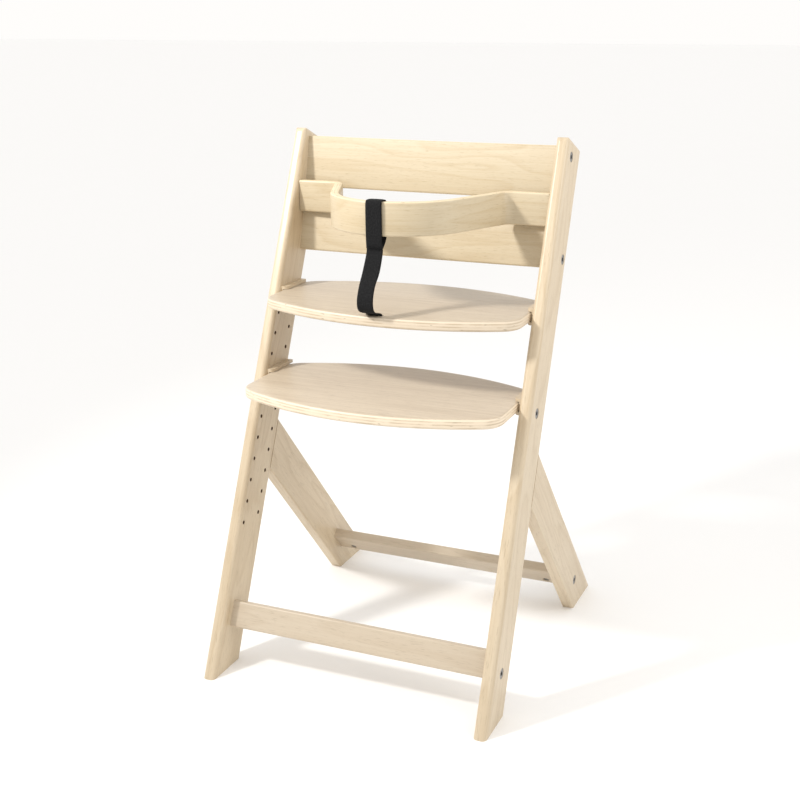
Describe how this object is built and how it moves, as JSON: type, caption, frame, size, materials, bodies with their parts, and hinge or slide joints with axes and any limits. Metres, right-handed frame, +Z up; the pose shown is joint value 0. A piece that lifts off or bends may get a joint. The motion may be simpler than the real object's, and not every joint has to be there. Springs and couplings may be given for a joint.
{
  "type": "high chair",
  "caption": "Wooden child's high chair: two leaning posts with raked rear legs, height-set seat and foot plates in grooved rails, back slats, bent safety bar and crotch strap.",
  "frame": {"origin": "centre of the footprint on the floor", "axes": "+Z up, front faces -Y, +X to the right seen from the front"},
  "size_m": [0.45, 0.518, 0.7872],
  "materials": {
    "solid_beech": "pale solid beech, clear satin lacquer",
    "birch_ply": "pale birch plywood, clear satin lacquer",
    "webbing": "black ribbed webbing",
    "black_steel": "black zinc coating, slight sheen",
    "zinc_steel": "zinc plated steel"
  },
  "bodies": {
    "frame": {"left_post": "solid_beech", "right_post": "solid_beech", "left_rear_leg": "solid_beech", "right_rear_leg": "solid_beech", "front_crossbar": "solid_beech", "rear_crossbar": "solid_beech", "upper_slat": "birch_ply", "lower_slat": "birch_ply", "seat_plate": "birch_ply", "left_seat_rail": "solid_beech", "right_seat_rail": "solid_beech", "left_foot_rail": "solid_beech", "right_foot_rail": "solid_beech", "strap_tail": "webbing", "strap_screw": "zinc_steel", "tie_rod": "black_steel", "slat_bolts": "black_steel", "rod_bolts": "black_steel", "crossbar_bolts": "black_steel", "slat_nuts": "zinc_steel", "crossbar_nuts": "zinc_steel", "slat_dowels": "solid_beech", "crossbar_dowels": "solid_beech", "leg_dowels": "solid_beech", "rail_pins": "zinc_steel"},
    "safety_bar": {"safety_bar": "birch_ply", "pivot_pins": "zinc_steel", "strap_loop": "webbing"},
    "foot_plate": {"foot_plate": "birch_ply"}
  },
  "joints": [
    {"name": "safety_bar_swing", "type": "hinge", "parent": "frame", "child": "safety_bar", "pos_m": [0, 0.0581, 0.684], "axis": [-1, 0, 0], "range_deg": [0, 10]},
    {"name": "foot_plate_slide", "type": "slide", "parent": "frame", "child": "foot_plate", "axis": [0, -1, 0], "range_m": [-0.04, 0.01]}
  ]
}
